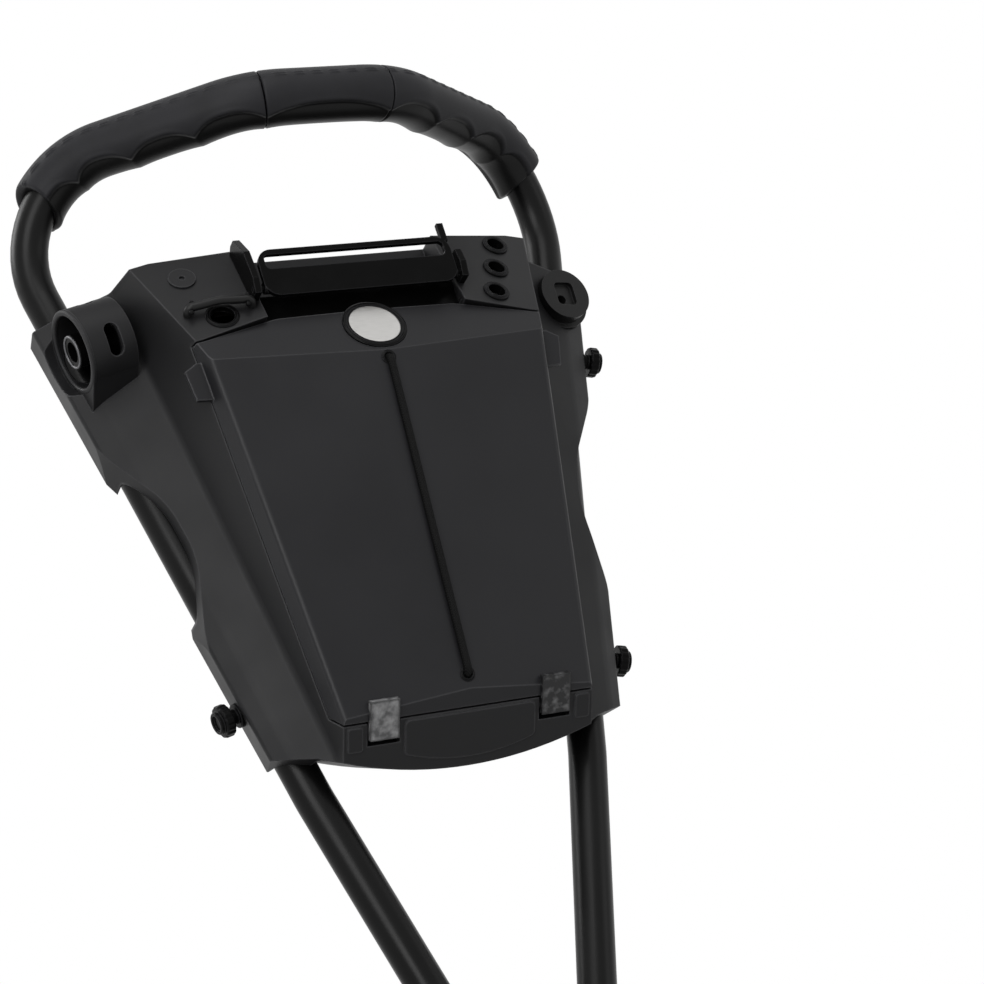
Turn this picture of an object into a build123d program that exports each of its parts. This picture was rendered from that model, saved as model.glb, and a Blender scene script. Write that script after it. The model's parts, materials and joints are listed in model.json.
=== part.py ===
# Upper handle of a push golf trolley: a bent loop of tube with rubber grips and a moulded
# console between its legs. The console has a lid, a sprung scorecard flap and small holders.
# Everything is modelled along the handle: X to the right, Y towards the user, Z up the legs
# from the pivot bolt. The pieces are tipped back by the handle's lean when they are written.
from build123d import *
from math import cos, hypot, radians, sin
import os

# ---- driving dimensions, mm ----
lean = 42.0                    # how far the handle tips back from upright, degrees

tube_radius = 11.0
tube_wall = 1.8
leg_x_pivot = 28.6             # half the distance between the legs at the pivot bolt
leg_x_bend = 83.5              # half the distance at the low bend
bend_height = 190.0
leg_bend_radius = 120.0
leg_slope = 0.24               # how far the legs spread per mm of height above the bend
leg_tail = 18.0                # tube below the pivot bolt
corner_height = 595.0          # where the legs' line meets the loop's line
corner_radius = 59.0
crown_forward = 134.9          # where the arms' lines would meet, forward of the legs
crown_drop = 21.3              # and below the corners
crown_half = 44.0              # the crown is cut off straight this far to each side
crown_radius = 60.0

grip_radius = 17.5
grip_centre_half = 37.0        # measured along the tube from the crown
grip_end = 197.0
grip_gap = 0.6

pivot_radius = 6.5
pivot_bore = 4.1
pivot_overhang = 1.5
pivot_hole_spare = 3.0         # the legs are bored this far past the sleeve's ends

shell_wall = 3.0
console_bottom = 186.0         # lowest point of the arched bottom rim
console_top = 505.0
shoulder_x = 112.5             # outside this the top falls away to the flange
shoulder_fall = 0.195
face_depth_bend = 52.9         # how far the ridge of the lid stands in front of the legs, at the bend
face_slope = 0.1387
ridge_slope = 0.06             # how the face falls away from the ridge to each side
lid_edge_bend = 71.5
lid_edge_slope = 0.13
crease_bend = 74.5
crease_slope = 0.182
crease_depth = 30.0
flange_out = 18.5              # the flange's front corner beyond the leg's centre line, at the bend
flange_front = 13.8
flange_front_slope = 0.019     # how the front corner moves back with height
rear_out = 12.1                # the flange's rear corner beyond the leg's centre line, at the bend
rear_spread = 0.012
fold_share = 0.66              # a fold in the flange's face, as a share of the way from the crease
fold_proud = 1.8
console_rear = 11.0
corner_round = 3.0
crease_round = 5.0
fold_round = 25.0
flange_round = 3.0
compartment_bend = 70.0        # half the compartment's width at the bend
channel_clearance = 0.25

rim_front = 25.0               # the rim's heights are stated this far in front of the legs
rim_side_x = 84.0
rim_side = 203.0
rim_climb = 0.45               # how the rim rises towards the back
flange_rise = 0.25             # how the flange's lower end rises outwards
flange_climb = 0.18
floor_wall = 4.0
lip_rear = 58.0
shelf_front = 65.0
waist_low = 283.0
waist_in_low = 335.0
waist_in_high = 368.0
waist_high = 410.0
waist_out = 1.0                # the flange that is left beyond the leg's centre line
waist_round = 70.0
waist_spare = 0.2

chamfer_sum = 161.5            # on the lower chamfer y + z is this
apron_difference = 260.2       # on the lid's lower end z - y is this
lid_side_depth = 17.0          # the lid's sides end this far behind the ridge
lid_gap = 1.2
lid_top_side = 438.0
lid_top_centre = 450.0
lid_top_round = 20.0
lid_top_flat = 55.0            # half the width over which the lid's top edge is level
lid_top_side_x = 104.0
brow_height = 439.0
brow_depth = 78.0
brow_slope = 0.30
brow_fall = 0.03
deck_depth = 75.3
deck_slope = 0.32
deck_fall = 0.13

recess_half = 61.0
recess_floor = 45.0
tray_top = 468.0
tray_thickness = 3.0

hinge_depth = 4.0              # the hinge line under the chamfer's face
hinge_below = 7.1              # and below the lid's lower end, along the chamfer
hinge_pin_radius = 2.0
hinge_clearance = 0.05
knuckle_radius = 4.2
tab_inner = 42.8
tab_outer = 59.8
notch_gap = 1.0
hinge_boss_wall = 3.0
tab_low = 4.0                  # the tab's plate below the hinge line
tab_high = 18.6                # and above it
tab_proud = 2.0
tab_thickness = 3.8

pad_proud = 1.2
pad_half = 39.0
pad_side_bottom = 22.0
pad_centre_bottom = 29.0
pad_top = 2.5
pad_round = 3.0
block_inner = 63.8
block_outer = 72.5
block_bottom = 16.5

ear_outline = [(102.0, 405.2), (112.0, 405.7), (115.3, 423.0), (108.0, 427.4), (102.0, 427.4)]
ear_thickness = 2.5

back_thickness = 3.0
back_bottom = 224.0
back_rim = 3.0
back_ledge = 1.5
back_clearance = 0.2
ball_radius = 21.0
ball_x = 78.0
ball_height = 437.0
back_slot_height = 470.0
back_slot_width = 46.0
back_slot_tall = 12.0

badge_height = 437.5
badge_ring_radius = 18.8
badge_disc_radius = 15.0
badge_sunk = 1.5
badge_proud = 1.2
badge_step = 0.5

cord_radius = 2.3
cord_top = 413.0
cord_bottom = 226.3
cord_hole = 3.0
cord_clearance = 0.05
cord_bend = 4.0
knot_radius = 4.2

fin_thickness = 4.0
fin_inner = 62.0
fin_foot = [(-50.0, 463.0), (-82.0, 463.0), (-84.0, 472.0)]     # (y, z) points of a fin's side
tall_fin_head = [(-81.0, 491.0), (-71.0, 505.0), (-65.0, 505.0), (-50.0, 496.0)]
low_fin_head = [(-82.0, 481.0), (-50.0, 484.0)]
flap_half = 59.5
flap_axis_y = -79.0
flap_axis_z = 467.0
flap_barrel_radius = 3.5
flap_pin_radius = 1.5
flap_pin_clearance = 0.05
flap_thickness = 3.0
flap_low = 460.0
flap_high = 490.3
flap_round = 9.0
flap_slot_half = 55.5
flap_slot_low = 477.5
flap_slot_high = 487.0
flap_slot_round = 3.0
flap_finger_width = 4.0
flap_finger_top = 499.0

boss_x = 161.0
boss_forward = 28.0
boss_height = 466.0
boss_outer = 24.5
boss_inner = 21.5
boss_length = 29.0
boss_floor = 4.0
boss_foot = [(-16.5, -33.0), (9.0, -22.5), (-24.0, -3.0)]
boss_spare = 0.3
boss_slot_back = 16.5          # the slot and the hole in the wall, back from the rim
boss_slot_turn = -25.0         # degrees round the wall from straight forward, up being positive
boss_slot_long = 19.0
boss_slot_wide = 8.5
boss_hole_turn = 60.0
boss_hole_radius = 5.0
post_radius = 10.0
post_bore = 6.0
post_length = 25.0
post_bore_depth = 22.0

disc_x = 153.0
disc_forward = 28.0
disc_height = 475.7
disc_normal = (0.17, -0.98, -0.05)
disc_radius = 16.7
disc_length = 16.0
disc_base_radius = 19.5
disc_base_back = 8.0
disc_recess_wide = 13.5
disc_recess_tall = 15.5
disc_recess_round = 3.0
disc_recess_depth = 3.0
disc_hole = 3.0
disc_hole_place = (-1.8, -2.6)
disc_hole_depth = 9.0

knob_low = 245.0
knob_high = 443.0
knob_forward = 1.0
knob_out = 15.3                # where the flange's side is, at the knobs
knob_sunk = 3.0
knob_steps = [(7.0, 6.0), (4.5, 4.5), (9.4, 5.5), (6.5, 2.5)]
knob_shank = 2.5
knob_shank_length = 3.5

tee_places = [(101.0, 495.7), (92.7, 475.4), (84.2, 455.4)]
tee_collar = 8.0
tee_collar_height = 1.4
tee_sleeve = 6.3
tee_hole = 5.1
tee_depth = 5.0

strap_hole_x = 85.5
strap_hole_height = 455.4
strap_hole = 8.0
strap_height = 459.3
strap_half = 18.6
strap_rise = 5.0               # how far the strap stands off the deck over its ends
strap_crown = 6.0              # and in its middle
strap_foot_bow = 1.0           # how far it bows up the deck over its ends
strap_bow = 2.5                # and in its middle
strap_root = 1.0
strap_radius = 2.5
strap_bend = 3.2
strap_crown_bend = 20.0

plug_x = 98.1
plug_height = 488.6
plug_radius = 8.0
plug_rise = 1.2
plug_hole = 1.6

# ---- shapes that several pieces share ----
def leg_x(height):
    return leg_x_bend + leg_slope * (height - bend_height)


def face_y(height):
    return -(face_depth_bend + face_slope * (height - bend_height))


def lid_edge_x(height):
    return lid_edge_bend + lid_edge_slope * (height - bend_height)


def crease_x(height):
    return crease_bend + crease_slope * (height - bend_height)


def compartment_x(height):
    return compartment_bend + crease_slope * (height - bend_height)


def right_section(height):
    # right half of the console's outline across the handle, from the rear centre round to the ridge
    edge = lid_edge_x(height)
    up = height - bend_height
    crease = Vector(crease_x(height), -crease_depth)
    corner = Vector(leg_x(height) + flange_out, flange_front_slope * up - flange_front)
    fold = crease + (corner - crease) * fold_share
    return [
        (0, console_rear),
        (leg_x(height) + rear_out + rear_spread * up, console_rear),
        (corner.X, corner.Y),
        (fold.X, fold.Y - fold_proud),
        (crease.X, crease.Y),
        (edge, face_y(height) + ridge_slope * edge),
        (0, face_y(height)),
    ]


def right_hollow(height):
    # right half of the space inside, one wall in from the outline
    edge = lid_edge_x(height) - shell_wall
    side = compartment_x(height)
    front = face_y(height) + shell_wall
    return [
        (0, console_rear - back_thickness),
        (side, console_rear - back_thickness),
        (side, -crease_depth),
        (edge, front + ridge_slope * edge),
        (0, front),
    ]


loft_low = console_bottom - 20
loft_high = console_top + 20
far = 400.0                    # well outside everything
recess_bottom = lid_top_centre + lid_gap + 2 * shell_wall

deck_plane = Plane(
    origin=(lid_top_side_x, -deck_depth, brow_height), z_dir=(deck_fall, -1, deck_slope)
)
brow_plane = Plane(origin=(0, -brow_depth, brow_height), z_dir=(brow_fall, -1, brow_slope))
chamfer_plane = Plane(origin=(0, chamfer_sum - 200, 200), z_dir=(0, -1, -1))
# the lid's lower end leaves the chamfer's face here
lid_foot = Vector(0, (chamfer_sum - apron_difference) / 2, (chamfer_sum + apron_difference) / 2)
chamfer_face = Plane(origin=lid_foot, x_dir=(1, 0, 0), z_dir=(0, -1, -1))
apron_plane = Plane(origin=lid_foot, z_dir=(0, -1, 1))
lid_split = Plane(
    origin=(0, face_y(bend_height) + lid_side_depth, bend_height), z_dir=(0, -1, -face_slope)
)

# ---- the bent tube ----
leg_foot = -leg_tail
leg_foot_x = leg_x_pivot + (leg_x_bend - leg_x_pivot) / bend_height * leg_foot
corner_x = leg_x(corner_height)
crown_share = 1 - crown_half / corner_x
crown_y = -crown_forward * crown_share
crown_height = corner_height - crown_drop * crown_share
with BuildLine() as handle_line:
    FilletPolyline(
        (-leg_foot_x, 0, leg_foot),
        (-leg_x_bend, 0, bend_height),
        (-corner_x, 0, corner_height),
        (-crown_half, crown_y, crown_height),
        (crown_half, crown_y, crown_height),
        (corner_x, 0, corner_height),
        (leg_x_bend, 0, bend_height),
        (leg_foot_x, 0, leg_foot),
        radius=[
            leg_bend_radius,
            corner_radius,
            crown_radius,
            crown_radius,
            corner_radius,
            leg_bend_radius,
        ],
    )
handle_path = handle_line.wire()
handle_length = handle_path.length

with BuildPart() as handle_tube:
    with BuildSketch(Plane(handle_path @ 0, z_dir=handle_path % 0)):
        Circle(tube_radius)
        Circle(tube_radius - tube_wall, mode=Mode.SUBTRACT)
    sweep(path=handle_path)


def tube_stretch(start, end):
    # part of the loop's path, from start to end in mm along it, measured from the crown
    return handle_path.trim(0.5 + start / handle_length, 0.5 + end / handle_length)


def grip_sleeve(start, end):
    stretch = tube_stretch(start, end)
    with BuildPart() as sleeve:
        with BuildSketch(Plane(stretch @ 0, z_dir=stretch % 0)):
            Circle(grip_radius)
            Circle(tube_radius, mode=Mode.SUBTRACT)
        sweep(path=stretch)
    return sleeve


grip_left = grip_sleeve(-grip_end, -grip_centre_half - grip_gap / 2)
grip_centre = grip_sleeve(-grip_centre_half + grip_gap / 2, grip_centre_half - grip_gap / 2)
grip_right = grip_sleeve(grip_centre_half + grip_gap / 2, grip_end)

# ---- the pivot at the foot of the legs ----
sleeve_half = leg_x_pivot + tube_radius + pivot_overhang
with BuildPart() as pivot_sleeve:
    with BuildSketch(Plane.YZ.offset(-sleeve_half)):
        Circle(pivot_radius)
        Circle(pivot_bore, mode=Mode.SUBTRACT)
    extrude(amount=2 * sleeve_half)

with BuildPart() as sleeve_hole:
    with BuildSketch(Plane.YZ.offset(-sleeve_half - pivot_hole_spare)):
        Circle(pivot_radius)
    extrude(amount=2 * (sleeve_half + pivot_hole_spare))

with handle_tube:
    add(sleeve_hole.part, mode=Mode.SUBTRACT)

plug_depth = 8.0
plug_cap = 3.0
plug_clearance = 0.1


def leg_plug(end, inward):
    with BuildPart() as plug:
        with BuildSketch(Plane(handle_path @ end, z_dir=inward)):
            Circle(tube_radius - tube_wall - plug_clearance)
        extrude(amount=plug_depth)
        with BuildSketch(Plane(handle_path @ end, z_dir=-inward)):
            Circle(tube_radius)
        extrude(amount=plug_cap)
        rims = plug.edges().filter_by(GeomType.CIRCLE)
        chamfer(rims.sort_by(lambda edge: edge.arc_center.Z)[0], 1)
    return plug


leg_plug_left = leg_plug(0, handle_path % 0)
leg_plug_right = leg_plug(1, -(handle_path % 1))

# ---- the console's outside and its hollow, right halves ----
def upright_near(body, x, y):
    # the edge along the handle that passes nearest to (x, y) half way up
    middle = Vector(x, y, (loft_low + loft_high) / 2)
    uprights = body.edges().filter_by(lambda edge: edge.length > console_top - console_bottom)
    return uprights.sort_by(lambda edge: (edge.center() - middle).length)[0]


middle_section = right_section((loft_low + loft_high) / 2)
with BuildPart() as outside_half:
    with BuildSketch(Plane.XY.offset(loft_low)):
        Polygon(*right_section(loft_low), align=None)
    with BuildSketch(Plane.XY.offset(loft_high)):
        Polygon(*right_section(loft_high), align=None)
    loft(ruled=True)
    fillet(upright_near(outside_half, *middle_section[5]), corner_round)
    fillet(upright_near(outside_half, *middle_section[4]), crease_round)
    fillet(upright_near(outside_half, *middle_section[3]), fold_round)
    fillet(upright_near(outside_half, *middle_section[2]), flange_round)

with BuildPart() as hollow_half:
    with BuildSketch(Plane.XY.offset(loft_low)):
        Polygon(*right_hollow(loft_low), align=None)
    with BuildSketch(Plane.XY.offset(loft_high)):
        Polygon(*right_hollow(loft_high), align=None)
    loft(ruled=True)


def below_rim(lift):
    # everything under the arched bottom rim, raised by lift, right half
    centre = console_bottom + lift
    side = rim_side + lift
    with BuildPart() as under:
        with BuildSketch(Plane.XZ.offset(rim_front)):
            with BuildLine():
                rim_arc = ThreePointArc((-rim_side_x, side), (0, centre), (rim_side_x, side))
                Polyline(rim_arc @ 1, (rim_side_x, 0), (-rim_side_x, 0), rim_arc @ 0)
            make_face()
        extrude(amount=far, dir=(0, 1, rim_climb), both=True)
        with BuildSketch(Plane.XZ.offset(rim_front)):
            Polygon(
                (rim_side_x, 0),
                (far, 0),
                (far, side + flange_rise * (far - rim_side_x)),
                (rim_side_x, side),
                align=None,
            )
        extrude(amount=far, dir=(0, 1, flange_climb), both=True)
    return under.part


def lid_zone(gap):
    # the space that the lid takes, grown by gap
    with BuildPart() as zone:
        with BuildSketch(Plane.XZ.offset(far)):
            with BuildLine():
                FilletPolyline(
                    (-far, 0),
                    (-far, lid_top_side + gap),
                    (-lid_top_side_x, lid_top_side + gap),
                    (-lid_top_flat, lid_top_centre + gap),
                    (lid_top_flat, lid_top_centre + gap),
                    (lid_top_side_x, lid_top_side + gap),
                    (far, lid_top_side + gap),
                    (far, 0),
                    radius=lid_top_round,
                    close=True,
                )
            make_face()
        extrude(amount=-2 * far)
        split(bisect_by=lid_split.offset(-gap), keep=Keep.TOP)
        split(bisect_by=apron_plane.offset(-gap), keep=Keep.TOP)
    return zone.part


def waist_cut():
    # where the flange steps back to the tube, right side
    full = flange_out + waist_spare
    with BuildPart() as cut:
        with BuildSketch(Plane.XZ.offset(far)):
            with BuildLine():
                FilletPolyline(
                    (far, console_bottom),
                    (leg_x(console_bottom) + full, console_bottom),
                    (leg_x(waist_low) + full, waist_low),
                    (leg_x(waist_in_low) + waist_out, waist_in_low),
                    (leg_x(waist_in_high) + waist_out, waist_in_high),
                    (leg_x(waist_high) + full, waist_high),
                    (leg_x(console_top) + full, console_top),
                    (far, console_top),
                    radius=[0, waist_round, waist_round, waist_round, waist_round, 0],
                )
                Line((far, console_top), (far, console_bottom))
            make_face()
        extrude(amount=-2 * far)
    return cut.part


def shoulder_cut():
    # where the top falls away outside the deck, right side
    with BuildPart() as cut:
        with BuildSketch(Plane.XZ.offset(far)):
            Polygon(
                (shoulder_x, console_top),
                (far, console_top - shoulder_fall * (far - shoulder_x)),
                (far, far + console_top),
                (shoulder_x, far + console_top),
                align=None,
            )
        extrude(amount=-2 * far)
    return cut.part


with BuildPart() as trimmed_half:
    add(outside_half.part)
    add(below_rim(0), mode=Mode.SUBTRACT)
    add(waist_cut(), mode=Mode.SUBTRACT)
    add(shoulder_cut(), mode=Mode.SUBTRACT)
    split(bisect_by=Plane.XY.offset(console_top), keep=Keep.BOTTOM)
    split(bisect_by=chamfer_plane, keep=Keep.BOTTOM)


# ---- the lid ----
with BuildPart() as lid_half:
    add(trimmed_half.part)
    split(bisect_by=brow_plane, keep=Keep.BOTTOM)
    add(lid_zone(0), mode=Mode.INTERSECT)

with BuildPart() as lid_hollow_half:
    add(hollow_half.part)
    split(bisect_by=brow_plane.offset(-shell_wall), keep=Keep.BOTTOM)
    split(bisect_by=chamfer_plane.offset(-shell_wall), keep=Keep.BOTTOM)

# finger tab on the lid's side, in front of the split
with BuildPart() as lid_ear:
    with BuildSketch(Plane.XZ.offset(far)):
        Polygon(*ear_outline, align=None)
    extrude(amount=-2 * far)
    split(bisect_by=lid_split, keep=Keep.TOP)
    split(bisect_by=lid_split.offset(ear_thickness), keep=Keep.BOTTOM)

with BuildPart() as lid:
    add(lid_half.part)
    add(lid_hollow_half.part, mode=Mode.SUBTRACT)
    add(lid_ear.part)
    mirror(about=Plane.YZ)

# ---- the console shell ----
with BuildPart() as lip_band:
    add(lid_zone(lid_gap + shell_wall))
    add(lid_zone(lid_gap), mode=Mode.SUBTRACT)
    split(bisect_by=Plane.XZ.offset(lip_rear), keep=Keep.TOP)
    split(bisect_by=Plane.XY.offset(lid_top_side), keep=Keep.TOP)

with BuildPart() as shell_hollow_half:
    add(hollow_half.part)
    split(bisect_by=deck_plane.offset(-shell_wall), keep=Keep.BOTTOM)
    split(bisect_by=chamfer_plane.offset(-shell_wall), keep=Keep.BOTTOM)
    split(bisect_by=Plane.XY.offset(console_top - shell_wall), keep=Keep.BOTTOM)
    add(below_rim(floor_wall), mode=Mode.SUBTRACT)
    add(lip_band.part, mode=Mode.SUBTRACT)
    # the walls of the recess under the scorecard flap
    with BuildSketch(Plane.XY.offset(recess_bottom - shell_wall)):
        with Locations((0, -recess_floor + shell_wall)):
            Rectangle(recess_half + shell_wall, far, align=(Align.MIN, Align.MAX))
    extrude(amount=far, mode=Mode.SUBTRACT)

leg_direction = Vector(leg_slope, 0, 1).normalized()
channel_plane = Plane(
    origin=(leg_x(loft_low), 0, loft_low), x_dir=(1, 0, -leg_slope), z_dir=leg_direction
)
channel_radius = tube_radius + channel_clearance
with BuildPart() as channel:
    with BuildSketch(channel_plane):
        Circle(channel_radius)
        Rectangle(2 * channel_radius, far, align=(Align.CENTER, Align.MIN))
    extrude(amount=far)

with BuildPart() as shell_half:
    add(trimmed_half.part)
    split(bisect_by=deck_plane, keep=Keep.BOTTOM)
    add(lid_zone(lid_gap), mode=Mode.SUBTRACT)
    add(shell_hollow_half.part, mode=Mode.SUBTRACT)
    add(channel.part, mode=Mode.SUBTRACT)
    # the recess, and the shelf under it cut back level with the lid's brow
    with BuildSketch(Plane.XY.offset(recess_bottom)):
        with Locations((0, -recess_floor)):
            Rectangle(recess_half, far, align=(Align.MIN, Align.MAX))
    extrude(amount=far, mode=Mode.SUBTRACT)
    with BuildSketch(Plane.XY.offset(lid_top_side)):
        with Locations((0, -shelf_front)):
            Rectangle(recess_half, far, align=(Align.MIN, Align.MAX))
    extrude(amount=far, mode=Mode.SUBTRACT)


# ---- the back plate and the rebate that it sits in ----
def back_outline(grow):
    # right half of the plate's outline, seen along the handle's depth
    low = back_bottom - grow
    high = console_top - back_rim + grow
    side = back_ledge + grow
    return [
        (0, low),
        (compartment_x(low) + side, low),
        (compartment_x(high) + side, high),
        (0, high),
    ]


with BuildPart() as console_back:
    with BuildSketch(Plane.XZ.offset(-console_rear)):
        Polygon(*back_outline(-back_clearance), align=None)
        mirror(about=Plane.YZ)
    extrude(amount=back_thickness)
    with BuildSketch(Plane.XZ.offset(-console_rear)):
        with Locations((-ball_x, ball_height), (ball_x, ball_height)):
            Circle(ball_radius)
    extrude(amount=back_thickness, mode=Mode.SUBTRACT)
    with BuildSketch(Plane.XZ.offset(-console_rear)):
        with Locations((0, back_slot_height)):
            SlotOverall(back_slot_width, back_slot_tall)
    extrude(amount=back_thickness, mode=Mode.SUBTRACT)

with BuildPart() as shell_half_cut:
    add(shell_half.part)
    with BuildSketch(Plane.XZ.offset(-console_rear)):
        Polygon(*back_outline(0), align=None)
    extrude(amount=back_thickness, mode=Mode.SUBTRACT)

with BuildPart() as console_shell:
    add(shell_half_cut.part)
    mirror(about=Plane.YZ)

# ---- the card tray across the front of the recess ----
with BuildPart() as card_tray:
    with BuildSketch(Plane.XZ.offset(shelf_front)):
        with Locations((0, tray_top)):
            Rectangle(2 * recess_half, tray_top - lid_top_side, align=(Align.CENTER, Align.MAX))
    extrude(amount=tray_thickness)
    add(lid_zone(lid_gap), mode=Mode.SUBTRACT)

# ---- the lid's hinges ----
# seen along the hinge line, distances run up the chamfer's face and out from it
up_face = Vector(-1, 1).normalized()
out_face = Vector(-1, -1).normalized()
hinge_place = Vector(lid_foot.Y, lid_foot.Z) - up_face * hinge_below - out_face * hinge_depth
hinge_y = hinge_place.X
hinge_z = hinge_place.Y
notch_radius = hypot(tab_low, hinge_depth + tab_proud) + notch_gap
boss_radius = notch_radius + hinge_boss_wall
tab_mid = (tab_inner + tab_outer) / 2
tab_width = tab_outer - tab_inner
pocket_width = tab_width + 2 * notch_gap
boss_width = pocket_width + 2 * hinge_boss_wall


def across_hinge(width, side):
    # a plane square to the hinge line, where a piece of this width starts
    return Plane.YZ.offset(side * tab_mid - width / 2)


def beside_hinge(low, high, inner, outer):
    # a rectangle from low to high up the face and from inner to outer away from the hinge line
    corners = [(low, inner), (high, inner), (high, outer), (low, outer)]
    points = [hinge_place + up_face * up + out_face * out for up, out in corners]
    return [(point.X, point.Y) for point in points]


with BuildPart() as pocket_tools:
    for side in (-1, 1):
        with BuildSketch(across_hinge(pocket_width, side)):
            with Locations((hinge_y, hinge_z)):
                Circle(notch_radius)
            Polygon(*beside_hinge(0, tab_high, -notch_radius, notch_radius), align=None)
        extrude(amount=pocket_width)

with console_shell:
    for side in (-1, 1):
        with BuildSketch(across_hinge(boss_width, side)):
            with Locations((hinge_y, hinge_z)):
                Circle(boss_radius)
        extrude(amount=boss_width)
    split(bisect_by=chamfer_plane, keep=Keep.BOTTOM)
    add(pocket_tools.part, mode=Mode.SUBTRACT)
    add(lid_zone(lid_gap), mode=Mode.SUBTRACT)
    for side in (-1, 1):
        with BuildSketch(across_hinge(boss_width, side)):
            with Locations((hinge_y, hinge_z)):
                Circle(hinge_pin_radius)
        extrude(amount=boss_width, mode=Mode.SUBTRACT)
    # pads moulded on the chamfer's face: one between the tabs and one outside each
    with BuildSketch(chamfer_face) as pad:
        with BuildLine():
            Polyline(
                (-pad_half, -pad_side_bottom),
                (-pad_half, -pad_top),
                (pad_half, -pad_top),
                (pad_half, -pad_side_bottom),
            )
            ThreePointArc(
                (pad_half, -pad_side_bottom), (0, -pad_centre_bottom), (-pad_half, -pad_side_bottom)
            )
        make_face()
        fillet(pad.vertices(), pad_round)
    extrude(amount=pad_proud)
    with BuildSketch(chamfer_face) as blocks:
        with Locations(
            (-(block_inner + block_outer) / 2, -pad_top), ((block_inner + block_outer) / 2, -pad_top)
        ):
            Rectangle(
                block_outer - block_inner, block_bottom - pad_top, align=(Align.CENTER, Align.MAX)
            )
        fillet(blocks.vertices(), pad_round / 2)
    extrude(amount=pad_proud)

with BuildPart() as hinge_pins:
    for side in (-1, 1):
        with BuildSketch(across_hinge(boss_width, side)):
            with Locations((hinge_y, hinge_z)):
                Circle(hinge_pin_radius)
        extrude(amount=boss_width)


def hinge_tab(side):
    with BuildPart() as tab:
        with BuildSketch(across_hinge(tab_width, side)):
            with Locations((hinge_y, hinge_z)):
                Circle(knuckle_radius)
            plate_top = hinge_depth + tab_proud
            Polygon(*beside_hinge(-tab_low, tab_high, plate_top - tab_thickness, plate_top), align=None)
            with Locations((hinge_y, hinge_z)):
                Circle(hinge_pin_radius + hinge_clearance, mode=Mode.SUBTRACT)
        extrude(amount=tab_width)
        add(lid.part, mode=Mode.SUBTRACT)
    return tab


hinge_tab_left = hinge_tab(-1)
hinge_tab_right = hinge_tab(1)

# ---- the outside of the whole console, which bolted-on pieces are cut to ----
with BuildPart() as envelope:
    add(trimmed_half.part)
    split(bisect_by=deck_plane, keep=Keep.BOTTOM)
    mirror(about=Plane.YZ)

# ---- badge on the lid's brow: a blank disc in a ring ----
brow_tilt = Vector(0, -1, brow_slope).normalized()
badge_plane = Plane(
    origin=Vector(0, -brow_depth + brow_slope * (badge_height - brow_height), badge_height),
    x_dir=(1, 0, 0),
    z_dir=brow_tilt,
)
with lid:
    with BuildSketch(badge_plane.offset(-badge_sunk)):
        Circle(badge_ring_radius)
    extrude(amount=far, mode=Mode.SUBTRACT)

with BuildPart() as badge_ring:
    with BuildSketch(badge_plane.offset(-badge_sunk)):
        Circle(badge_ring_radius)
        Circle(badge_disc_radius, mode=Mode.SUBTRACT)
    extrude(amount=badge_sunk + badge_proud)
    rims = badge_ring.edges().filter_by(GeomType.CIRCLE)
    chamfer(rims.group_by(lambda edge: badge_plane.to_local_coords(edge.arc_center).Z)[-1], 0.6)

with BuildPart() as badge_disc:
    with BuildSketch(badge_plane.offset(-badge_sunk)):
        Circle(badge_disc_radius)
    extrude(amount=badge_sunk + badge_proud - badge_step)

# ---- elastic cord, taut down the ridge and knotted inside the lid ----
ridge_out = Vector(0, -1, -face_slope).normalized()
cord_lie = cord_radius + cord_clearance
cord_in = shell_wall + knot_radius
cord_ends = [Vector(0, face_y(cord_top), cord_top), Vector(0, face_y(cord_bottom), cord_bottom)]
with BuildLine() as cord_line:
    FilletPolyline(
        cord_ends[0] - ridge_out * cord_in,
        cord_ends[0] + ridge_out * cord_lie,
        cord_ends[1] + ridge_out * cord_lie,
        cord_ends[1] - ridge_out * cord_in,
        radius=cord_bend,
    )
cord_path = cord_line.wire()
with BuildPart() as elastic_cord:
    with BuildSketch(Plane(cord_path @ 0, z_dir=cord_path % 0)):
        Circle(cord_radius)
    sweep(path=cord_path)
    with Locations(cord_path @ 0, cord_path @ 1):
        Sphere(knot_radius)

with lid:
    for end in cord_ends:
        with BuildSketch(Plane(origin=end + ridge_out * cord_in, z_dir=-ridge_out)):
            Circle(cord_hole)
        extrude(amount=cord_in + 2 * shell_wall, mode=Mode.SUBTRACT)

# ---- scorecard clip: two fins on the decks and a sprung flap between them ----
def fin(side, outline):
    with BuildPart() as plate:
        with BuildSketch(Plane.YZ.offset(fin_inner)):
            Polygon(*outline, align=None)
        extrude(amount=fin_thickness)
        split(bisect_by=deck_plane, keep=Keep.TOP)
        if side < 0:
            mirror(about=Plane.YZ, mode=Mode.REPLACE)
        with BuildSketch(Plane.YZ.offset(-far)):
            with Locations((flap_axis_y, flap_axis_z)):
                Circle(flap_pin_radius)
        extrude(amount=2 * far, mode=Mode.SUBTRACT)
    return plate


clip_fin_left = fin(-1, fin_foot + tall_fin_head)
clip_fin_right = fin(1, fin_foot + low_fin_head)

with BuildPart() as clip_pin:
    with BuildSketch(Plane.YZ.offset(-fin_inner - fin_thickness)):
        with Locations((flap_axis_y, flap_axis_z)):
            Circle(flap_pin_radius)
    extrude(amount=2 * (fin_inner + fin_thickness))

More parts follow.
